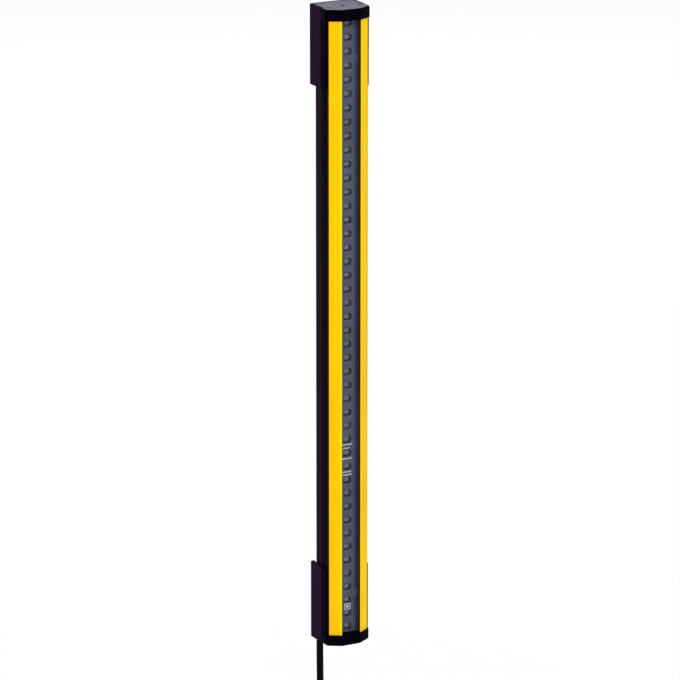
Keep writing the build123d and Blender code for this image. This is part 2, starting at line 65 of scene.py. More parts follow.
class Grain(Enum):
    """How a surface's fine relief runs."""

    MOULDED = "moulded"
    EXTRUDED = "extruded"
    SOFT = "soft"


class Placement(Enum):
    """The two ends of the bar, with the sign of their height."""

    TOP = 1
    BOTTOM = -1


def linear(red: float, green: float, blue: float) -> tuple[float, float, float, float]:
    """Turn a screen colour into the linear colour that a shader takes.

    Args:
        red: Red from 0 to 255.
        green: Green from 0 to 255.
        blue: Blue from 0 to 255.

    Returns:
        The linear colour with an alpha of 1.
    """
    channels = np.array([red, green, blue]) / 255.0
    low = channels / 12.92
    high = ((channels + 0.055) / 1.055) ** 2.4
    mixed = np.where(channels <= 0.04045, low, high)
    return (float(mixed[0]), float(mixed[1]), float(mixed[2]), 1.0)


def beam_height(index: float) -> float:
    """Return the height of a beam's axis in millimetres, counted from the top."""
    return FIRST_BEAM - index * BEAM_PITCH


class Graph:
    """One material's nodes, with short calls for the few patterns used here."""

    def __init__(self, name: str) -> None:
        """Start a material with an empty principled shader."""
        self.material = bpy.data.materials.new(name)
        self.material.use_nodes = True
        self.nodes = self.material.node_tree.nodes
        self.links = self.material.node_tree.links
        self.nodes.clear()
        self.output = self.nodes.new("ShaderNodeOutputMaterial")
        self.shader = self.nodes.new("ShaderNodeBsdfPrincipled")
        self.links.new(self.shader.outputs[0], self.output.inputs["Surface"])
        self.place = self.nodes.new("ShaderNodeTexCoord")

    def set(self, **values: object) -> None:
        """Set the shader's own sockets, named with underscores for spaces."""
        for name, value in values.items():
            self.shader.inputs[name.replace("_", " ")].default_value = value

    def mapped(self, scale: tuple[float, float, float]) -> bpy.types.NodeSocket:
        """Return object coordinates stretched by a scale along each axis."""
        mapping = self.nodes.new("ShaderNodeMapping")
        mapping.inputs["Scale"].default_value = scale
        self.links.new(self.place.outputs["Object"], mapping.inputs["Vector"])
        return mapping.outputs["Vector"]

    def noise(self, scale: tuple[float, float, float], detail: float = 3.0) -> bpy.types.NodeSocket:
        """Return noise with about one cell per unit of the stretched coordinates.

        Args:
            scale: Cells per metre along X, Y and Z.
            detail: Number of finer octaves.

        Returns:
            The noise's factor socket.
        """
        noise = self.nodes.new("ShaderNodeTexNoise")
        noise.inputs["Scale"].default_value = 1.0
        noise.inputs["Detail"].default_value = detail
        self.links.new(self.mapped(scale), noise.inputs["Vector"])
        return noise.outputs["Fac"]

    def ramp(self, factor: bpy.types.NodeSocket, stops: list[tuple[float, tuple]]) -> bpy.types.NodeSocket:
        """Return colours read from a ramp.

        Args:
            factor: The value that runs along the ramp.
            stops: Positions from 0 to 1 with their linear colours.

        Returns:
            The ramp's colour socket.
        """
        ramp = self.nodes.new("ShaderNodeValToRGB")
        elements = ramp.color_ramp.elements
        while len(elements) < len(stops):
            elements.new(0.5)
        for element, (position, colour) in zip(elements, stops):
            element.position = position
            element.color = colour
        self.links.new(factor, ramp.inputs["Fac"])
        return ramp.outputs["Color"]

    def spread(self, factor: bpy.types.NodeSocket, low: float, high: float) -> bpy.types.NodeSocket:
        """Return a factor of 0 to 1 moved into the range from low to high."""
        spread = self.nodes.new("ShaderNodeMapRange")
        spread.inputs["To Min"].default_value = low
        spread.inputs["To Max"].default_value = high
        self.links.new(factor, spread.inputs["Value"])
        return spread.outputs["Result"]

    def bump(self, height: bpy.types.NodeSocket, strength: float, distance: float) -> None:
        """Give the shader a relief from a height pattern.

        Args:
            height: The pattern's height socket.
            strength: Share of the relief from 0 to 1.
            distance: Height of the relief in metres.
        """
        bump = self.nodes.new("ShaderNodeBump")
        bump.inputs["Strength"].default_value = strength
        bump.inputs["Distance"].default_value = distance
        self.links.new(height, bump.inputs["Height"])
        self.links.new(bump.outputs["Normal"], self.shader.inputs["Normal"])

    def colour(self, socket: bpy.types.NodeSocket) -> None:
        """Feed the shader's base colour."""
        self.links.new(socket, self.shader.inputs["Base Color"])

    def roughness(self, socket: bpy.types.NodeSocket) -> None:
        """Feed the shader's roughness."""
        self.links.new(socket, self.shader.inputs["Roughness"])

    def step(self, axis: str, start: float, end: float) -> bpy.types.NodeSocket:
        """Return a factor that rises from 0 to 1 with the distance from the row frame's middle.

        Args:
            axis: "X", "Y" or "Z", the direction of the distance.
            start: Distance in metres where the factor is 0.
            end: Distance in metres where it reaches 1, less than start for a factor that falls.

        Returns:
            The factor's socket.
        """
        split = self.nodes.new("ShaderNodeSeparateXYZ")
        self.links.new(self.place.outputs["Object"], split.inputs["Vector"])
        distance = self.nodes.new("ShaderNodeMath")
        distance.operation = "ABSOLUTE"
        self.links.new(split.outputs[axis], distance.inputs[0])
        rise = self.nodes.new("ShaderNodeMapRange")
        rise.inputs["From Min"].default_value = start
        rise.inputs["From Max"].default_value = end
        self.links.new(distance.outputs[0], rise.inputs["Value"])
        return rise.outputs["Result"]

    def blend(
        self, factor: bpy.types.NodeSocket, first: bpy.types.NodeSocket, second: bpy.types.NodeSocket
    ) -> bpy.types.NodeSocket:
        """Return a mix of two colours: the first where the factor is 0, the second where it is 1."""
        mix = self.nodes.new("ShaderNodeMix")
        mix.data_type = "RGBA"
        self.links.new(factor, mix.inputs["Factor"])
        self.links.new(first, mix.inputs["A"])
        self.links.new(second, mix.inputs["B"])
        return mix.outputs["Result"]

    def grained(
        self, colour: bpy.types.NodeSocket, grain: bpy.types.NodeSocket, depth: float
    ) -> bpy.types.NodeSocket:
        """Return a colour made lighter and darker by a grain, with the same mean.

        Args:
            colour: The plain colour.
            grain: Noise with a mean of one half.
            depth: Share of the grain from 0 to 1.

        Returns:
            The grained colour's socket.
        """
        mix = self.nodes.new("ShaderNodeMix")
        mix.data_type = "RGBA"
        mix.blend_type = "OVERLAY"
        mix.inputs["Factor"].default_value = depth
        self.links.new(colour, mix.inputs["A"])
        self.links.new(grain, mix.inputs["B"])
        return mix.outputs["Result"]


@dataclass(frozen=True)
class Zone:
    """A stretch of a finish in other tones past a distance from the frame's middle, mostly painted light and shade."""

    axis: str
    start: float
    end: float
    light: tuple[float, float, float, float]
    dark: tuple[float, float, float, float]


@dataclass(frozen=True)
class Finish:
    """A plastic, rubber or paint finish with a mottled colour, a fine relief and zones, mostly of painted light and
    shade.
    """

    name: str
    light: tuple[float, float, float, float]
    dark: tuple[float, float, float, float]
    roughness: tuple[float, float] = (0.4, 0.55)
    grain: Grain = Grain.MOULDED
    relief: float = 0.00003
    specular: float = 0.4
    coat: float = 0.0
    alpha: float = 1.0
    metallic: float = 0.0
    mottle: float = 0.4
    zones: tuple[Zone, ...] = ()

    def scale(self) -> tuple[float, float, float]:
        """Return the relief's cells per metre along each axis."""
        if self.grain is Grain.EXTRUDED:
            return (2600.0, 2600.0, 14.0)
        if self.grain is Grain.SOFT:
            return (900.0, 900.0, 300.0)
        return (1900.0, 1900.0, 1900.0)

    def mottle_scale(self) -> tuple[float, float, float]:
        """Return the colour grain's cells per metre: streaks along an extrusion, specks elsewhere."""
        if self.grain is Grain.EXTRUDED:
            return (620.0, 620.0, 4.0)
        return (1300.0, 1300.0, 1300.0)

    def colours(self, graph: Graph) -> bpy.types.NodeSocket:
        """Return the colour pattern: slow noise between two tones, with zones laid over it, most of them painted light
        and shade, and grain.
        """
        slow = graph.noise((55.0, 55.0, 18.0), 4.0)
        colour = graph.ramp(slow, [(0.3, self.dark), (0.7, self.light)])
        for zone in self.zones:
            tone = graph.ramp(slow, [(0.3, zone.dark), (0.7, zone.light)])
            colour = graph.blend(graph.step(zone.axis, zone.start, zone.end), colour, tone)
        return graph.grained(colour, graph.noise(self.mottle_scale()), self.mottle)

    def build(self) -> bpy.types.Material:
        """Make the material.

        Returns:
            A material with colour and roughness from slow noise and a bump from fine noise.
        """
        graph = Graph(self.name)
        graph.colour(self.colours(graph))
        graph.roughness(graph.spread(graph.noise((160.0, 160.0, 60.0)), *self.roughness))
        graph.bump(graph.noise(self.scale()), 0.5, self.relief)
        graph.set(Specular_IOR_Level=self.specular, Coat_Weight=self.coat, Coat_Roughness=0.08)
        graph.set(Alpha=self.alpha, Metallic=self.metallic)
        return graph.material


HOUSING_PAINT = Finish(
    "housing_paint",
    linear(25, 7, 31),
    linear(17, 3, 23),
    (0.34, 0.46),
    Grain.EXTRUDED,
    0.00001,
    0.006,
    zones=(
        # Painted shade: the housing in front of 15.6 mm from the middle is painted darker than its rear part.
        Zone("Y", 0.0152, 0.0156, linear(9, 3, 16), linear(5, 1, 10)),
        # Painted reflection: the channel walls inside the strips are painted a lighter grey-purple, standing in for the
        # lit window reflected in them.
        Zone("X", 0.00738, 0.00735, linear(76, 64, 72), linear(66, 54, 62)),
        # Takes the rear part back to the plain tones, so the painted shade stays in front.
        Zone("Y", 0.0156, 0.0152, linear(25, 7, 31), linear(17, 3, 23)),
        # Painted shade: the front 2.8 mm of the housing is painted dark brown, standing in for the shaded yellow edges
        # beside it.
        Zone("Y", 0.0273, 0.0277, linear(74, 30, 22), linear(62, 24, 16)),
    ),
)
STRIP_YELLOW = Finish(
    "strip_yellow",
    linear(246, 197, 4),
    linear(239, 189, 4),
    (0.34, 0.42),
    Grain.EXTRUDED,
    0.000008,
    0.02,
    mottle=0.22,
    zones=(
        Zone("X", 0.0089, 0.0084, linear(236, 214, 6), linear(230, 208, 6)),
        # Painted shade: the strips' inner edge faces are painted dark brown.
        Zone("X", 0.00736, 0.00734, linear(74, 30, 22), linear(62, 24, 16)),
        # Painted shade: the strips' outer edges are painted dark red-brown.
        Zone("X", 0.01518, 0.01524, linear(34, 6, 4), linear(26, 3, 2)),
    ),
)
WINDOW_CLEAR = Finish(
    "window_clear", linear(104, 112, 138), linear(98, 106, 132), (0.05, 0.09), Grain.MOULDED, 0.0, 0.3, 0.0, 0.1
)
SEAL_RUBBER = Finish(
    "seal_rubber",
    linear(52, 56, 72),
    linear(44, 48, 62),
    (0.6, 0.7),
    Grain.SOFT,
    0.00002,
    0.1,
    # Painted reflection: the seals' inner edge is painted in the light grey-blue that the window's reflection gives the
    # lens strip.
    zones=(Zone("X", 0.0059, 0.0058, linear(84, 88, 108), linear(74, 78, 98)),),
)
# Painted reflection: the black module's face is painted grey-blue, standing in for the surroundings reflected in the
# window in front of it.
MODULE_BLACK = Finish(
    "module_black",
    linear(88, 91, 112),
    linear(76, 79, 100),
    (0.4, 0.5),
    specular=0.15,
    # Painted shade: the aperture walls behind the module's face are painted near-black.
    zones=(Zone("Y", 0.02452, 0.02444, linear(8, 8, 20), linear(4, 4, 12)),),
)
LENS_CLEAR = Finish(
    "lens_clear",
    linear(20, 22, 36),
    linear(14, 16, 28),
    (0.2, 0.28),
    Grain.SOFT,
    0.0,
    0.5,
    # Painted highlight: the crown of each dome, in front of 22.6 mm from the middle, is painted light grey-blue over
    # the dark lens.
    zones=(Zone("Y", 0.0223, 0.0226, linear(120, 130, 148), linear(104, 114, 134)),),
)
BOARD_GREEN = Finish("board_green", linear(24, 96, 60), linear(18, 80, 50))
DIODE_CLEAR = Finish("diode_clear", linear(220, 216, 200), linear(208, 204, 190), (0.15, 0.25))
ELECTRONICS_BLACK = Finish("electronics_black", linear(36, 36, 38), linear(28, 28, 30))
SOCKET_WHITE = Finish("socket_white", linear(226, 222, 210), linear(216, 212, 200))
LIGHT_PIPE = Finish("light_pipe_clear", linear(60, 66, 86), linear(52, 58, 78), (0.2, 0.3), specular=0.3)
CAP_PLASTIC = Finish(
    "cap_plastic",
    linear(8, 4, 12),
    linear(4, 2, 7),
    (0.3, 0.42),
    relief=0.00003,
    specular=0.005,
    # Painted reflection: the caps' end faces are painted light grey-purple, standing in for the bright surroundings
    # reflected on them.
    zones=(Zone("Z", 0.23138, 0.23146, linear(121, 116, 136), linear(108, 104, 122)),),
)
BRACKET_PLASTIC = Finish(
    "bracket_plastic",
    linear(34, 19, 44),
    linear(25, 11, 33),
    (0.42, 0.55),
    relief=0.00003,
    specular=0.006,
    # Painted shade: the brackets' front arms, in front of 17.9 mm from the middle, are painted near-black.
    zones=(Zone("Y", 0.0175, 0.0179, linear(6, 1, 5), linear(4, 1, 4)),),
)
GASKET_RUBBER = Finish("gasket_rubber", linear(30, 29, 32), linear(22, 21, 24), (0.65, 0.8), Grain.SOFT)
SCREW_STEEL = Finish("screw_steel", linear(70, 70, 74), linear(56, 56, 60), (0.3, 0.45), metallic=1.0)
CABLE_JACKET = Finish(
    "cable_jacket", linear(18, 12, 15), linear(11, 7, 10), (0.42, 0.55), Grain.SOFT, 0.00003, 0.018
)
CORE_INSULATION = Finish("core_insulation", linear(150, 140, 128), linear(136, 128, 116))
PLUG_PLASTIC = Finish("plug_plastic", linear(26, 24, 28), linear(18, 16, 20), (0.4, 0.55), relief=0.00004, specular=0.1)
PLUG_METAL = Finish("plug_metal", linear(206, 202, 192), linear(186, 182, 174), (0.22, 0.32), metallic=1.0)
PIN_GOLD = Finish("pin_gold", linear(232, 196, 116), linear(220, 182, 100), (0.15, 0.22), metallic=1.0)
# Painted reflection: the grey-blue of the window's reflection, painted on pads inside the window's ears.
WINDOW_EAR_REFLECTION = Finish("window_ear_reflection", linear(84, 90, 110), linear(74, 80, 100), (0.3, 0.4), specular=0.2)
PRINT_WHITE = Finish("print_white", linear(226, 228, 234), linear(214, 216, 222), (0.5, 0.6))


@dataclass
class Palette:
    """Builds each finish once and hands it out by the record's slot name."""

    finishes: tuple[Finish, ...]
    built: dict[str, bpy.types.Material] = field(default_factory=dict)

    def material(self, name: str) -> bpy.types.Material:
        """Return the material of a slot, made on its first use."""
        if name not in self.built:
            finish = next(finish for finish in self.finishes if finish.name == name)
            self.built[name] = finish.build()
        return self.built[name]

    def dress(self, piece: bpy.types.Object, name: str) -> None:
        """Put one slot's material on every face of a piece."""
        piece.data.materials.clear()
        piece.data.materials.append(self.material(name))


class Shell:
    """Gathers closed surfaces and makes one object of them."""

    def __init__(self) -> None:
        """Start with no surface."""
        self.vertices: list[np.ndarray] = []
        self.faces: list[list[int]] = []
        self.count = 0

    def grid(self, points: np.ndarray, wrap_rows: bool = False, wrap_columns: bool = False) -> np.ndarray:
        """Add a grid of points with one quad between each four neighbours.

        Args:
            points: Array of rows, columns and 3, in millimetres in the row frame.
            wrap_rows: Whether the last row joins the first.
            wrap_columns: Whether the last column joins the first.

        Returns:
            The vertex numbers as an array of rows and columns.
        """
        rows, columns = points.shape[:2]
        index = self.count + np.arange(rows * columns).reshape(rows, columns)
        whole = np.vstack([index, index[:1]]) if wrap_rows else index
        whole = np.hstack([whole, whole[:, :1]]) if wrap_columns else whole
        corners = [whole[:-1, :-1], whole[:-1, 1:], whole[1:, 1:], whole[1:, :-1]]
        self.faces.extend(np.stack([corner.ravel() for corner in corners], axis=1).tolist())
        self.vertices.append(points.reshape(-1, 3) * MM)
        self.count += rows * columns
        return index

    def turned(self, radii: np.ndarray, heights: np.ndarray, centre: tuple[float, float]) -> None:
        """Add a closed turned body, its two ends shut by flat faces.

        Each point of the profile at radius r(row, t) and height z becomes the
        point (x0 + r cos t, y0 + r sin t, z), with t running once round.

        Args:
            radii: Array of rows and segments, in millimetres.
            heights: One falling height for each row, in millimetres.
            centre: The axis's X and Y in millimetres.
        """
        segments = radii.shape[1]
        angle = np.linspace(0.0, 2.0 * np.pi, segments, endpoint=False)
        x = centre[0] + radii * np.cos(angle)
        y = centre[1] + radii * np.sin(angle)
        z = np.repeat(heights[:, None], segments, axis=1)
        index = self.grid(np.stack([x, y, z], axis=2)[::-1], wrap_columns=True)
        self.faces.append(index[0][::-1].tolist())
        self.faces.append(index[-1].tolist())

    def prism(self, outline: np.ndarray, front: float, rear: float, inset: float = 0.0) -> None:
        """Add a closed slab from an outline in X and Z, between two depths.

        The front ring is the outline moved towards its middle by the inset,
        which leaves a small bevel round the front face.

        Args:
            outline: Array of X and Z pairs in millimetres.
            front: Depth of the front face behind the strips' front edges.
            rear: Depth of the rear face.
            inset: Width of the bevel.
        """
        middle = outline.mean(axis=0)
        reach = np.abs(outline - middle).max(axis=0)
        small = middle + (outline - middle) * (1.0 - inset / reach)
        rings = ((small, front), (outline, front + inset), (outline, rear))
        points = np.stack(
            [np.stack([ring[:, 0], np.full(len(ring), FRONT_Y + depth), ring[:, 1]], axis=1) for ring, depth in rings]
        )
        index = self.grid(points, wrap_columns=True)
        self.faces.append(index[0][::-1].tolist())
        self.faces.append(index[-1].tolist())

    def frame(self, outer: np.ndarray, inner: np.ndarray, front: float, rear: float) -> None:
        """Add a closed flat frame between two outlines of equally many points.

        Args:
            outer: The outer outline's X and Z pairs in millimetres.
            inner: The inner outline's X and Z pairs.
            front: Depth of the front face behind the strips' front edges.
            rear: Depth of the rear face.
        """
        rings = ((outer, front), (outer, rear), (inner, rear), (inner, front))
        points = np.stack(
            [np.stack([ring[:, 0], np.full(len(ring), FRONT_Y + depth), ring[:, 1]], axis=1) for ring, depth in rings]
        )
        self.grid(points, wrap_rows=True, wrap_columns=True)

    def finish(self, name: str, smooth_angle: float = 40.0) -> bpy.types.Object:
        """Make the object, with its faces turned outwards and its curved faces smooth.

        Args:
            name: The object's name.
            smooth_angle: Edges that turn less than this many degrees are shaded smooth.

        Returns:
            The new object, at the origin.
        """
        mesh = bpy.data.meshes.new(name)
        mesh.from_pydata(np.vstack(self.vertices).tolist(), [], self.faces)
        body = bmesh.new()
        body.from_mesh(mesh)
        bmesh.ops.recalc_face_normals(body, faces=body.faces)
        body.to_mesh(mesh)
        body.free()
        mesh.polygons.foreach_set("use_smooth", np.ones(len(mesh.polygons), dtype=bool))
        mesh.set_sharp_from_angle(angle=math.radians(smooth_angle))
        mesh.update()
        piece = bpy.data.objects.new(name, mesh)
        bpy.context.scene.collection.objects.link(piece)
        return piece


def rounded_rectangle(centre: tuple[float, float], half: tuple[float, float], corner: float) -> np.ndarray:
    """Return the outline of a rounded rectangle.

    Each corner is a quarter circle of the corner's radius round a point that
    lies that far inside both sides.

    Args:
        centre: Middle of the rectangle.
        half: Half of its width and of its height.
        corner: Radius of its corners.

    Returns:
        Array of points, counter-clockwise.
    """
    angle = np.linspace(0.0, 0.5 * np.pi, 7)
    quarters = angle[None, :] + 0.5 * np.pi * np.arange(4)[:, None]
    signs = np.array([[1.0, 1.0], [-1.0, 1.0], [-1.0, -1.0], [1.0, -1.0]])
    inner = np.array(centre) + signs * (np.array(half) - corner)
    ring = np.stack([np.cos(quarters), np.sin(quarters)], axis=2) * corner
    return (inner[:, None, :] + ring).reshape(-1, 2)


def settle(piece: bpy.types.Object, material: bpy.types.Material, slot: str, *nodes: str) -> bpy.types.Object:
    """Dress a new piece, hide the solids it replaces and ride it on the part.

    Args:
        piece: The new object.
        material: Its material.
        slot: The record's material slot it takes its finish from; not used.
        *nodes: The solids that it replaces, if any.

    Returns:
        The piece.
    """
    piece.data.materials.clear()
    piece.data.materials.append(material)
    if nodes:
        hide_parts(*nodes)
    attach(piece, ROOT)
    LOG.info("%s made", piece.name)
    return piece


@dataclass
class OpticBar:
    """The housing with its strips, window, seals and plain printed marks."""

    palette: Palette
    mark_front: float = 5.87
    mark_rear: float = 5.9
    mark_bevel: float = 0.01
    tick_half_height: float = 0.4
    ticks: tuple[tuple[float, float, float], ...] = (
        (30.38, -4.6, 3.9),
        (30.64, -3.6, 1.6),
        (31.42, -4.2, 3.9),
        (32.4, -4.4, 3.4),
        (32.62, -4.4, 3.7),
    )
    ear_beams: tuple[float, float] = (2.5, 41.5)
    ear_half_height: float = 2.05
    ear_inner: float = 5.25
    ear_outer: float = 7.2
    ear_front: float = 4.79
    icon_beam: float = 42.5
    icon_half: float = 2.4
    icon_line: float = 0.6
    icon_core: float = 1.0

    def marks(self) -> bpy.types.Object:
        """Print the status ticks and a plain square on the lens modules' faces.

        Returns:
            One object of thin white slabs.
        """
        shell = Shell()
        for beam, left, right in self.ticks:
            middle = ((left + right) / 2.0, beam_height(beam))
            outline = rounded_rectangle(middle, ((right - left) / 2.0, self.tick_half_height), 0.2)
            shell.prism(outline, self.mark_front, self.mark_rear, self.mark_bevel)
        middle = (0.0, beam_height(self.icon_beam))
        inner_half = self.icon_half - self.icon_line
        outer = rounded_rectangle(middle, (self.icon_half, self.icon_half), 0.2)
        inner = rounded_rectangle(middle, (inner_half, inner_half), 0.1)
        shell.frame(outer, inner, self.mark_front, self.mark_rear)
        core = rounded_rectangle(middle, (self.icon_core, self.icon_core), 0.1)
        shell.prism(core, self.mark_front, self.mark_rear, self.mark_bevel)
        return shell.finish("printed_marks")

    def ears(self) -> bpy.types.Object:
        """Make grey-blue pads inside the window's ears, where it bridges the two seals: a painted reflection on the
        window.

        Returns:
            One object of four pads, each within an ear of the window.
        """
        shell = Shell()
        for beam in self.ear_beams:
            for side in (-1.0, 1.0):
                middle = (side * (self.ear_inner + self.ear_outer) / 2.0, beam_height(beam))
                half = ((self.ear_outer - self.ear_inner) / 2.0, self.ear_half_height)
                shell.prism(rounded_rectangle(middle, half, 0.2), self.ear_front, 5.7, 0.1)
        return shell.finish("window_ears")

    def build(self) -> None:
        """Dress the bar's solids and print its plain marks."""
        for node, slot in (
            ("housing_profile", "housing_paint"),
            ("yellow_strip_left", "strip_yellow"),
            ("yellow_strip_right", "strip_yellow"),
            ("front_window", "window_clear"),
            ("window_seal_left", "seal_rubber"),
            ("window_seal_right", "seal_rubber"),
        ):
            self.palette.dress(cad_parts[node], slot)
        # The ear pads carry a painted reflection.
        settle(self.ears(), self.palette.material("window_ear_reflection"), "window_clear")
        settle(self.marks(), self.palette.material("print_white"), "socket_white")
        LOG.info("optic bar dressed")


@dataclass
class LensArray:
    """The nine lens modules, with what the window shows of them."""

    palette: Palette
    module_count: int = 9
    beams_per_module: int = 5
    plate_front: float = 8.3
    plate_rear: float = 10.1
    plate_half_width: float = 7.3
    lens_half: tuple[float, float] = (2.75, 2.15)
    lens_rise: float = 1.25
    lens_sink: float = 0.15
    crown_angle: float = 0.06

    def dome(self, shell: Shell, height: float) -> None:
        """Add one lens to a shell.

        The lens is half an ellipsoid. With p from its crown to its rim and t
        once round, x = a sin(p) cos(t) and z = b sin(p) sin(t), and it stands
        off its plate by its rise times cos(p). A last ring sinks into the
        plate, and flat faces close the crown and the base.

        Args:
            shell: The shell that takes the surface.
            height: Height of the lens's axis in millimetres.
        """
        slope = np.linspace(self.crown_angle, 0.5 * np.pi, 9)
        turn = np.linspace(0.0, 2.0 * np.pi, 36, endpoint=False)
        reach = np.append(np.sin(slope), 1.0)[:, None]
        rise = np.append(self.lens_rise * np.cos(slope), -self.lens_sink)[:, None]
        x = self.lens_half[0] * reach * np.cos(turn)
        y = FRONT_Y + self.plate_front - rise * np.ones(turn.size)
        z = height + self.lens_half[1] * reach * np.sin(turn)
        index = shell.grid(np.stack([x, y, z], axis=2), wrap_columns=True)
        shell.faces.append(index[0][::-1].tolist())
        shell.faces.append(index[-1].tolist())

    def plate(self, number: int) -> bpy.types.Object:
        """Make one lens plate with its five domed lenses.

        Args:
            number: The module's number, from 1 at the top.

        Returns:
            The plate, which replaces the solid of the same place.
        """
        low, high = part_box(f"lens_plate_{number}")
        middle = (0.0, (low[2] + high[2]) / 2.0 / MM)
        half = (self.plate_half_width, (high[2] - low[2]) / 2.0 / MM)
        shell = Shell()
        shell.prism(rounded_rectangle(middle, half, 0.3), self.plate_front, self.plate_rear, 0.1)
        first = (number - 1) * self.beams_per_module
        for beam in range(first, first + self.beams_per_module):
            self.dome(shell, beam_height(beam))
        return shell.finish(f"domed_plate_{number}")

    def build(self) -> None:
        """Dress the modules, plates, boards and what the boards carry."""
        for number in range(1, self.module_count + 1):
            self.palette.dress(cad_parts[f"lens_module_{number}"], "module_black")
            settle(
                self.plate(number), self.palette.material("lens_clear"), "lens_clear", f"lens_plate_{number}"
            )
        for node, slot in (
            ("circuit_board_1", "board_green"),
            ("circuit_board_2", "board_green"),
            ("circuit_board_3", "board_green"),
            ("beam_diodes", "diode_clear"),
            ("control_chips", "electronics_black"),
            ("board_links", "electronics_black"),
            ("power_capacitors", "electronics_black"),
            ("lead_socket", "socket_white"),
            ("status_light_pipes", "light_pipe_clear"),
        ):
            self.palette.dress(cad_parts[node], slot)
        LOG.info("lens array dressed")


@dataclass
class BarEnd:
    """One end of the bar: cap, gasket, screws and the two-part bracket."""

    palette: Palette
    placement: Placement
    screw_x: float = 12.0
    screw_depth: float = 11.0
    head_r: float = 2.1
    head_height: float = 1.2
    shank_r: float = 1.0
    screw_length: float = 14.0
    socket_flat: float = 0.95
    socket_depth: float = 0.8
    edge: float = 0.12

    def screws(self) -> bpy.types.Object:
        """Make the two countersunk screws with their hexagon sockets.

        A socket's radius is its flat distance over cos(t), with t the angle
        from the middle of the nearest flat.

        Returns:
            Both screws, which replace their solids.
        """
        angle = np.linspace(0.0, 2.0 * np.pi, 48, endpoint=False)
        socket = self.socket_flat / np.cos(np.mod(angle, np.pi / 3.0) - np.pi / 6.0)
        ring = np.ones(angle.size)
        rows = (
            (socket, -self.socket_depth),
            (socket, -self.edge),
            (socket + self.edge, 0.0),
            (ring * (self.head_r - self.edge), 0.0),
            (ring * self.head_r, -self.edge),
            (ring * self.shank_r, -self.head_height),
            (ring * self.shank_r, -self.screw_length),
        )
        radii = np.stack([radius for radius, _ in rows])
        heights = self.placement.value * (BAR_HALF_LENGTH + np.array([height for _, height in rows]))
        shell = Shell()
        for x in (-self.screw_x, self.screw_x):
            shell.turned(radii, heights, (x, FRONT_Y + self.screw_depth))
        return shell.finish(f"{self.placement.name.lower()}_socket_screws", 25.0)

    def build(self) -> None:
        """Dress the end's solids and make its screws."""
        end = self.placement.name.lower()
        for node, slot in (
            ("end_cap", "cap_plastic"),
            ("gasket", "gasket_rubber"),
            ("bracket_shoe", "bracket_plastic"),
            ("bracket_slide", "bracket_plastic"),
        ):
            self.palette.dress(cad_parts[f"{end}_{node}"], slot)
        settle(self.screws(), self.palette.material("screw_steel"), "screw_steel", f"{end}_cap_screws")
        LOG.info("%s end dressed", end)


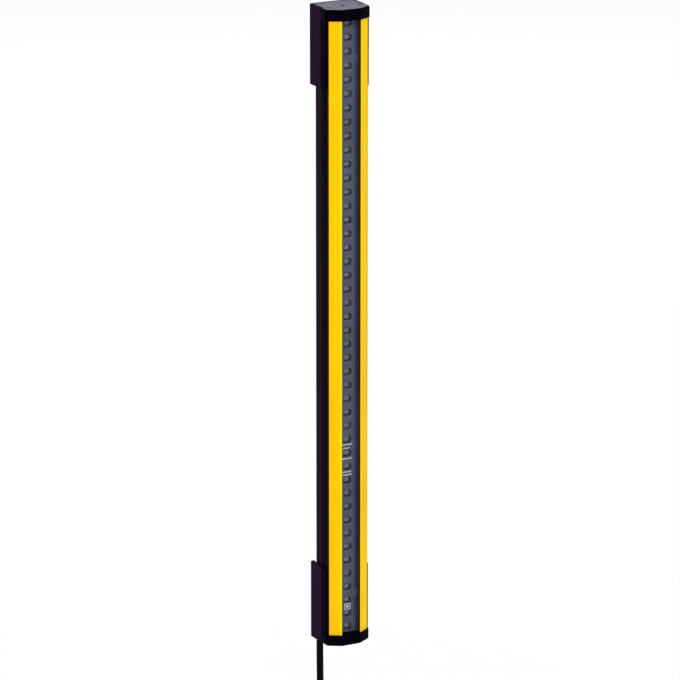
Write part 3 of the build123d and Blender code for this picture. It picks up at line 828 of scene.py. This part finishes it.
@dataclass
class Pigtail:
    """The cable that leaves the bottom cap, with its round plug."""

    palette: Palette
    radius: float = CABLE_RADIUS
    length: float = CABLE_LENGTH
    plug_top: float = -BAR_HALF_LENGTH - CABLE_LENGTH
    grip_length: float = 22.9
    sleeve_length: float = 11.0
    sleeve_r: float = 3.5
    grip_r: float = 5.2
    grip_flat: float = 4.95
    ring_pitch: float = 2.2
    insert_r: float = 4.6
    insert_top: float = -376.5
    knurl_top: float = -366.5
    thread_top: float = -378.5
    nut_bottom: float = -389.0
    knurl_r: float = 7.25
    thread_r: float = 6.0
    bore_r: float = 4.75
    ridges: int = 24

    def route(self) -> np.ndarray:
        """Return the cable's route points in metres.

        The heights fall in equal steps and each point drifts equally in X and -Y.
        """
        drift = np.array(CABLE_DRIFTS)
        steps = np.arange(drift.size)
        x = CABLE_X + drift
        y = FRONT_Y + CABLE_DEPTH - drift
        z = -BAR_HALF_LENGTH - steps * self.length / (drift.size - 1)
        return np.stack([x, y, z], axis=1) * MM

    def cable(self) -> bpy.types.Object:
        """Make the free cable as one smooth spline.

        Returns:
            The curve object, which replaces the cable's solid.
        """
        points = self.route()
        curve = bpy.data.curves.new("pigtail_jacket", "CURVE")
        curve.dimensions = "3D"
        curve.bevel_depth = self.radius * MM
        curve.bevel_resolution = 8
        curve.resolution_u = 24
        curve.use_fill_caps = True
        spline = curve.splines.new("NURBS")
        spline.points.add(len(points) - 1)
        for point, place in zip(spline.points, points):
            point.co = (*place, 1.0)
        spline.order_u = 3
        spline.use_endpoint_u = True
        piece = bpy.data.objects.new("pigtail_jacket", curve)
        bpy.context.scene.collection.objects.link(piece)
        curve.materials.append(self.palette.material("cable_jacket"))
        return piece

    def axis(self) -> tuple[float, float]:
        """Return the plug axis's X and Y in millimetres."""
        return (CABLE_X + CABLE_DRIFTS[-1], FRONT_Y + CABLE_DEPTH - CABLE_DRIFTS[-1])

    def grip(self) -> bpy.types.Object:
        """Make the plug's moulded grip.

        The radius swells from the cable's sleeve to the grip along a cosine,
        less a shallow groove wherever the sleeve's rings leave a gap, and the
        grip's flats cut it to the distance of a hexagon's side.

        Returns:
            The grip, which replaces its solid.
        """
        heights = np.linspace(0.0, -self.grip_length, 81)
        share = np.clip(-heights / self.sleeve_length, 0.0, 1.0)
        radius = self.sleeve_r + (self.grip_r - self.sleeve_r) * 0.5 * (1.0 - np.cos(np.pi * share))
        groove = 0.45 * np.clip(np.sin(2.0 * np.pi * -heights / self.ring_pitch), 0.0, 1.0)
        radius = radius - np.where(share < 1.0, groove, 0.0)
        angle = np.linspace(0.0, 2.0 * np.pi, 96, endpoint=False)
        radii = np.repeat(radius[:, None], angle.size, axis=1)
        sector = np.mod(angle, np.pi / 3.0) - np.pi / 6.0
        flat = self.grip_flat / np.cos(sector)
        body = (share >= 1.0)[:, None]
        radii = np.where(body, np.minimum(radii, flat[None, :]), radii)
        radii[0] -= 0.4
        shell = Shell()
        shell.turned(radii, self.plug_top + heights, self.axis())
        insert_heights = np.array([self.plug_top - self.grip_length, self.insert_top])
        shell.turned(np.full((2, 64), self.insert_r), insert_heights, self.axis())
        return shell.finish("plug_grip", 50.0)

    def nut(self) -> bpy.types.Object:
        """Make the coupling nut with its knurl and thread.

        The knurl's radius falls by a cosine of the number of ridges round the
        nut, and the thread's falls by a triangle of the height over the pitch
        less the share of a turn, so that it climbs as a helix.

        Returns:
            The nut, which replaces its solid.
        """
        angle = np.linspace(0.0, 2.0 * np.pi, 240, endpoint=False)
        knurl_heights = np.linspace(self.knurl_top, self.thread_top, 13)
        thread_heights = np.linspace(self.thread_top, self.nut_bottom, 64)
        fade = np.sin(np.pi * np.linspace(0.0, 1.0, 13)) ** 0.25
        ridge = 0.25 * (1.0 - np.cos(self.ridges * angle))
        knurl = self.knurl_r - 0.7 * (1.0 - fade)[:, None] - fade[:, None] * ridge[None, :]
        phase = np.mod((thread_heights - self.nut_bottom)[:, None] - angle[None, :] / (2.0 * np.pi), 1.0)
        depth = 0.6 * np.abs(2.0 * phase - 1.0)
        ends = np.clip(thread_heights - self.nut_bottom, 0.0, 1.0)[:, None]
        thread = self.thread_r - depth * ends - 0.6 * (1.0 - ends)
        outer = np.vstack([knurl, thread])
        outer_heights = np.concatenate([knurl_heights, thread_heights])
        bore = np.full((2, angle.size), self.bore_r)
        radii = np.vstack([outer, bore])
        heights = np.concatenate([outer_heights, [self.nut_bottom, self.knurl_top]])
        x = self.axis()[0] + radii * np.cos(angle)
        y = self.axis()[1] + radii * np.sin(angle)
        z = np.repeat(heights[:, None], angle.size, axis=1)
        shell = Shell()
        shell.grid(np.stack([x, y, z], axis=2), wrap_rows=True, wrap_columns=True)
        return shell.finish("plug_nut", 30.0)

    def build(self) -> None:
        jacket = settle(self.cable(), self.palette.material("cable_jacket"), "cable_jacket", "pigtail_cable")
        grip = settle(self.grip(), self.palette.material("plug_plastic"), "plug_plastic", "connector_grip")
        nut = settle(self.nut(), self.palette.material("plug_metal"), "plug_metal", "connector_nut")
        for node, slot in (
            ("cable_bush", "gasket_rubber"),
            ("cable_tail", "cable_jacket"),
            ("cable_cores", "core_insulation"),
            ("connector_insert", "plug_plastic"),
            ("connector_pins", "pin_gold"),
        ):
            self.palette.dress(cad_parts[node], slot)
        LOG.info("pigtail made, %.0f mm of cable", self.length)


@dataclass
class Studio:
    """Camera, lights, floor and the white surroundings."""

    target: tuple[float, float, float] = (0.0, -0.0136, -0.0092)
    azimuth: float = 28.0
    elevation: float = 16.0
    distance: float = 3.067
    lens: float = 230.4
    floor_height: float = -0.42
    lamp_side: float = 1.6

    def camera(self) -> None:
        """Place the camera at the photograph's angle, looking at the bar's middle."""
        azimuth = math.radians(self.azimuth)
        elevation = math.radians(self.elevation)
        back = Vector(
            (
                -math.sin(azimuth) * math.cos(elevation),
                -math.cos(azimuth) * math.cos(elevation),
                math.sin(elevation),
            )
        )
        data = bpy.data.cameras.new("camera")
        data.lens = self.lens
        data.sensor_width = 36.0
        data.clip_end = 50.0
        camera = bpy.data.objects.new("camera", data)
        camera.location = Vector(self.target) + back * self.distance
        camera.rotation_euler = (-back).to_track_quat("-Z", "Y").to_euler()
        bpy.context.scene.collection.objects.link(camera)
        bpy.context.scene.camera = camera

    def lamp(self, name: str, place: tuple[float, float, float], power: float, glossy: bool = True) -> None:
        """Add a soft square lamp that faces the bar.

        Args:
            name: The lamp's name.
            place: Its position in metres.
            power: Its power in watts.
            glossy: Whether it shows in reflections.
        """
        data = bpy.data.lights.new(name, "AREA")
        data.size = self.lamp_side
        data.energy = power
        lamp = bpy.data.objects.new(name, data)
        lamp.location = place
        lamp.visible_glossy = glossy
        aim = Vector(self.target) - Vector(place)
        lamp.rotation_euler = aim.to_track_quat("-Z", "Y").to_euler()
        bpy.context.scene.collection.objects.link(lamp)

    def seen_rays(self, nodes: bpy.types.Nodes, links: bpy.types.NodeLinks) -> bpy.types.NodeSocket:
        """Return 1 for camera, glossy and transmission rays and 0 for the rest."""
        path = nodes.new("ShaderNodeLightPath")
        total = path.outputs["Is Camera Ray"]
        for name in ("Is Glossy Ray", "Is Transmission Ray"):
            larger = nodes.new("ShaderNodeMath")
            larger.operation = "MAXIMUM"
            links.new(total, larger.inputs[0])
            links.new(path.outputs[name], larger.inputs[1])
            total = larger.outputs[0]
        return total

    def world(self) -> None:
        """Make the surroundings: soft light on the part, and plain white where they are seen."""
        world = bpy.data.worlds.new("surroundings")
        world.use_nodes = True
        bpy.context.scene.world = world
        nodes = world.node_tree.nodes
        links = world.node_tree.links
        nodes.clear()
        output = nodes.new("ShaderNodeOutputWorld")
        soft = nodes.new("ShaderNodeBackground")
        soft.inputs["Color"].default_value = (1.0, 1.0, 1.0, 1.0)
        soft.inputs["Strength"].default_value = 0.52
        white = nodes.new("ShaderNodeBackground")
        white.inputs["Color"].default_value = (1.0, 1.0, 1.0, 1.0)
        white.inputs["Strength"].default_value = 1.0
        mix = nodes.new("ShaderNodeMixShader")
        links.new(self.seen_rays(nodes, links), mix.inputs["Fac"])
        links.new(soft.outputs[0], mix.inputs[1])
        links.new(white.outputs[0], mix.inputs[2])
        links.new(mix.outputs[0], output.inputs["Surface"])

    def floor(self) -> None:
        """Lay a plain pale floor that shows white and keeps the part's shadow."""
        side = 12.0
        corner = np.array([-side, side])
        x, y = np.meshgrid(corner, corner, indexing="ij")
        shell = Shell()
        shell.grid(np.stack([x, y, np.full((2, 2), self.floor_height)], axis=2) / MM)
        floor = shell.finish("floor")
        graph = Graph("floor_white")
        graph.set(Base_Color=(0.86, 0.86, 0.86, 1.0), Roughness=0.9, Specular_IOR_Level=0.1)
        emission = graph.nodes.new("ShaderNodeEmission")
        emission.inputs["Color"].default_value = (1.0, 1.0, 1.0, 1.0)
        share = graph.nodes.new("ShaderNodeMath")
        share.operation = "MULTIPLY"
        share.inputs[1].default_value = 0.9
        graph.links.new(self.seen_rays(graph.nodes, graph.links), share.inputs[0])
        mix = graph.nodes.new("ShaderNodeMixShader")
        graph.links.new(share.outputs[0], mix.inputs["Fac"])
        graph.links.new(graph.shader.outputs[0], mix.inputs[1])
        graph.links.new(emission.outputs[0], mix.inputs[2])
        graph.links.new(mix.outputs[0], graph.output.inputs["Surface"])
        floor.data.materials.append(graph.material)

    def build(self) -> None:
        """Set up the whole studio."""
        bpy.context.scene.view_settings.view_transform = "Standard"
        self.camera()
        self.world()
        self.floor()
        self.lamp("key", (-1.6, -2.2, 2.0), 59.0)
        self.lamp("fill", (2.2, -1.8, 0.9), 24.0)
        self.lamp("rear", (1.3, 2.3, 1.2), 45.0, False)
        LOG.info("studio ready")


def main() -> None:
    """Build every sub-assembly in order."""
    logging.basicConfig(level=logging.INFO, format="%(message)s")
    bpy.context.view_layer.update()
    palette = Palette(
        (
            HOUSING_PAINT,
            STRIP_YELLOW,
            WINDOW_CLEAR,
            SEAL_RUBBER,
            MODULE_BLACK,
            LENS_CLEAR,
            BOARD_GREEN,
            DIODE_CLEAR,
            ELECTRONICS_BLACK,
            SOCKET_WHITE,
            LIGHT_PIPE,
            CAP_PLASTIC,
            BRACKET_PLASTIC,
            GASKET_RUBBER,
            SCREW_STEEL,
            CABLE_JACKET,
            CORE_INSULATION,
            PLUG_PLASTIC,
            PLUG_METAL,
            PIN_GOLD,
            PRINT_WHITE,
            WINDOW_EAR_REFLECTION,
        )
    )
    OpticBar(palette).build()
    LensArray(palette).build()
    for placement in Placement:
        BarEnd(palette, placement).build()
    Pigtail(palette).build()
    Studio().build()


if __name__ == "__main__":
    main()
